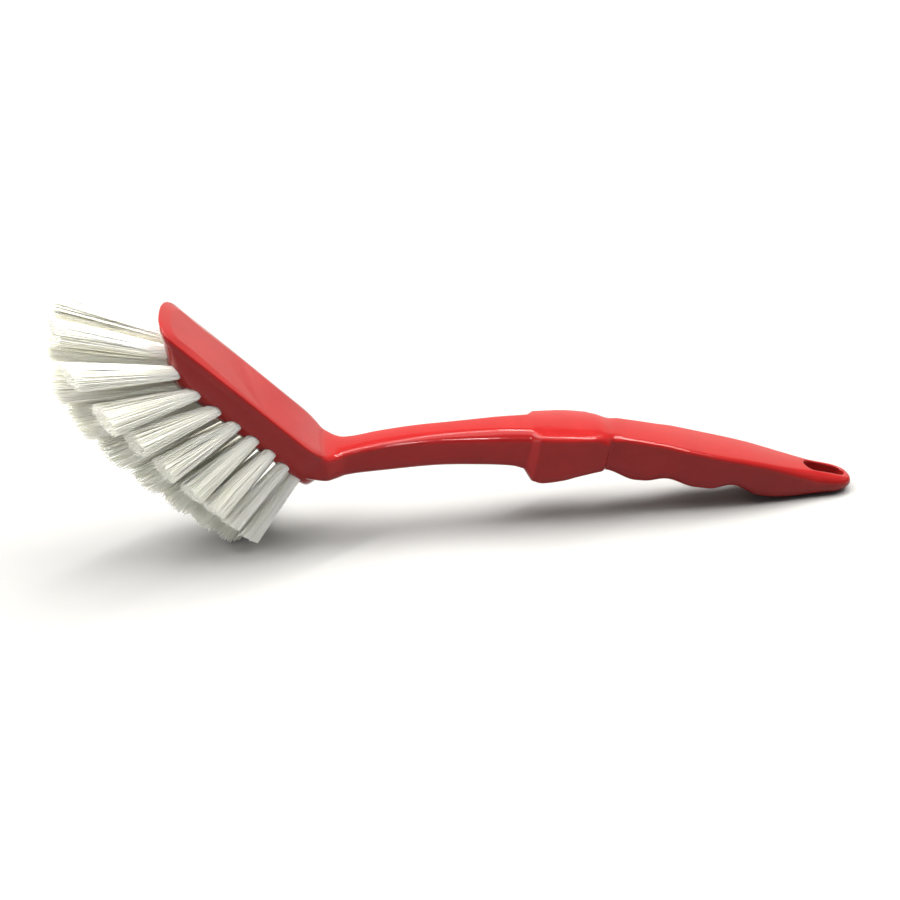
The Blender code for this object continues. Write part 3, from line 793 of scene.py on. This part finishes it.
def red_plastic():
    """Glossy moulded plastic: faint flow marks in the colour, orange peel and fine grain."""
    material, tree, links = new_material("moulded_red_plastic")
    shader = tree["Principled BSDF"]
    place = object_coordinates(tree)
    flow = noise(tree, links, place, scale=55.0, detail=7.0, roughness=0.75)
    links.new(colour_ramp(tree, links, flow, RED_TONES), shader.inputs["Base Color"])
    smear = noise(tree, links, place, scale=210.0, detail=4.0, roughness=0.6)
    links.new(map_range(tree, links, smear, 0.06, 0.13), shader.inputs["Roughness"])
    peel = noise(tree, links, place, scale=620.0, detail=1.0)
    grain = noise(tree, links, place, scale=3800.0, detail=2.0)
    coarse = bump(tree, links, peel, distance=0.00004, strength=0.35)
    fine = bump(tree, links, grain, distance=0.00001, strength=0.5)
    links.new(coarse.outputs["Normal"], fine.inputs["Normal"])
    links.new(fine.outputs["Normal"], shader.inputs["Normal"])
    shader.inputs["Specular IOR Level"].default_value = 0.18
    return material


def white_nylon():
    """Nylon filament: each strand a little different, with a fine scratched surface."""
    material, tree, links = new_material("nylon_filament")
    shader = tree["Principled BSDF"]
    strand = tree.new("ShaderNodeNewGeometry").outputs["Random Per Island"]
    links.new(colour_ramp(tree, links, strand, NYLON_TONES), shader.inputs["Base Color"])
    links.new(map_range(tree, links, strand, 0.30, 0.48), shader.inputs["Roughness"])
    scratch = noise(tree, links, object_coordinates(tree), scale=5200.0, detail=2.0)
    ridges = bump(tree, links, scratch, distance=0.00002, strength=0.4)
    links.new(ridges.outputs["Normal"], shader.inputs["Normal"])
    shader.inputs["IOR"].default_value = 1.53
    shader.inputs["Subsurface Weight"].default_value = 1.0
    shader.inputs["Subsurface Radius"].default_value = (1.0, 1.0, 0.9)
    shader.inputs["Subsurface Scale"].default_value = 0.0006
    return material


def anchor_steel():
    """Cut strip metal with a fine grain."""
    material, tree, links = new_material("anchor_steel")
    shader = tree["Principled BSDF"]
    shader.inputs["Metallic"].default_value = 1.0
    grain = noise(tree, links, object_coordinates(tree), scale=2400.0, detail=3.0)
    links.new(colour_ramp(tree, links, grain, STEEL_TONES), shader.inputs["Base Color"])
    links.new(map_range(tree, links, grain, 0.28, 0.5), shader.inputs["Roughness"])
    return material


# Floor, light and camera

def floor():
    """A matt sheet just under the brush."""
    edit = bmesh.new()
    bmesh.ops.create_grid(edit, x_segments=1, y_segments=1, size=FLOOR_HALF_SIZE,
                          matrix=Matrix.Translation((0, 0, FLOOR_LEVEL)))
    thing = new_object("floor", edit)
    material, tree, _ = new_material("floor_paper")
    shader = tree["Principled BSDF"]
    shader.inputs["Base Color"].default_value = FLOOR_COLOUR
    shader.inputs["Roughness"].default_value = 0.9
    shader.inputs["Specular IOR Level"].default_value = 0.1
    thing.data.materials.append(material)


def place_light(name, light, place, target=(0, 0, 0)):
    """Put a lamp in its place, turned towards its target."""
    thing = link(name, light)
    thing.location = place
    thing.rotation_euler = (Vector(target) - Vector(place)).to_track_quat("-Z", "Y").to_euler()


def softbox(name, place, width, height, power, colour):
    """A lamp that faces the brush. A strip's width runs across the brush, its height along it."""
    light = bpy.data.lights.new(name, "AREA")
    light.color = colour
    light.shape = "RECTANGLE"
    light.size, light.size_y = width, height
    light.energy = power
    place_light(name, light, place)


def studio():
    """A dim sky, the lamps overhead, cards around the brush and the fill of its tufts."""
    world = bpy.data.worlds.new("studio")
    bpy.context.scene.world = world
    world.use_nodes = True
    backdrop = world.node_tree.nodes["Background"]
    backdrop.inputs["Color"].default_value = SKY_COLOUR
    backdrop.inputs["Strength"].default_value = SKY_STRENGTH
    softbox("soft_top", (-0.5, 0.4, 4.4), width=5.0, height=4.6, power=320.0, colour=WARM)
    softbox("soft_left", (-2.6, 0.5, 3.1), width=2.4, height=2.4, power=185.0, colour=WARM)
    for number, (degrees, power) in enumerate(STRIPS, 1):
        angle = radians(degrees)
        place = (STRIP_DISTANCE * sin(angle), STRIP_BEHIND, STRIP_DISTANCE * cos(angle))
        softbox(f"strip_{number}", place, STRIP_WIDTH, STRIP_HEIGHT, power, WARM)
    softbox("back_card", (0.8, 3.6, 1.3), width=8.0, height=2.6, power=66.0, colour=WARMER)
    softbox("left_card", (-3.2, -0.5, 0.6), width=1.6, height=1.0, power=15.0, colour=NEUTRAL)
    softbox("right_card", (3.2, 0.0, 1.4), width=1.2, height=1.2, power=4.0, colour=NEUTRAL)
    fill = bpy.data.lights.new("bristle_fill", "SPOT")
    fill.energy = FILL_POWER
    fill.spot_size = FILL_CONE
    fill.spot_blend = FILL_BLEND
    fill.shadow_soft_size = FILL_RADIUS
    place_light("bristle_fill", fill, FILL_PLACE, FILL_TARGET)


def camera(tip_x):
    """The photo's camera, placed from the end of the handle."""
    data = bpy.data.cameras.new("camera")
    data.lens = CAMERA_LENS
    data.sensor_width = SENSOR_WIDTH
    thing = link("camera", data)
    backward = CAMERA_RIGHT.cross(CAMERA_UP)
    turn = Matrix((CAMERA_RIGHT, CAMERA_UP, backward)).transposed().to_4x4()
    place = (tip_x + CAMERA_PLACE_FROM_TIP, CAMERA_Y, CAMERA_HEIGHT)
    thing.matrix_world = Matrix.Translation(place) @ turn
    bpy.context.scene.camera = thing


# The brush in its place, and the stage around it

tip_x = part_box("handle_body")[1][0]
heel_x = tip_x - grip_start() - grip_tip(GRIP_TIP_END)[0] * GRIP_LENGTH
names = [name[len("tuft_"):] for name in sorted(nodes) if name.startswith("tuft_")]
holes = {name: hole_frame(name) for name in names}

red = red_plastic()
nylon = white_nylon()
steel = anchor_steel()

body = moulding(holes, heel_x)
body.data.materials.clear()
body.data.materials.append(red)
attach(body, "root")
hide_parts("handle_body")

for number, name in enumerate(names):
    bundle = tuft(name, holes, number)
    bundle.data.materials.append(nylon)
    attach(bundle, "root")
    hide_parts("tuft_" + name)
    metal = nodes["anchor_" + name]
    metal.data.materials.clear()
    metal.data.materials.append(steel)

floor()
studio()
camera(tip_x)
bpy.context.scene.view_settings.view_transform = "Standard"
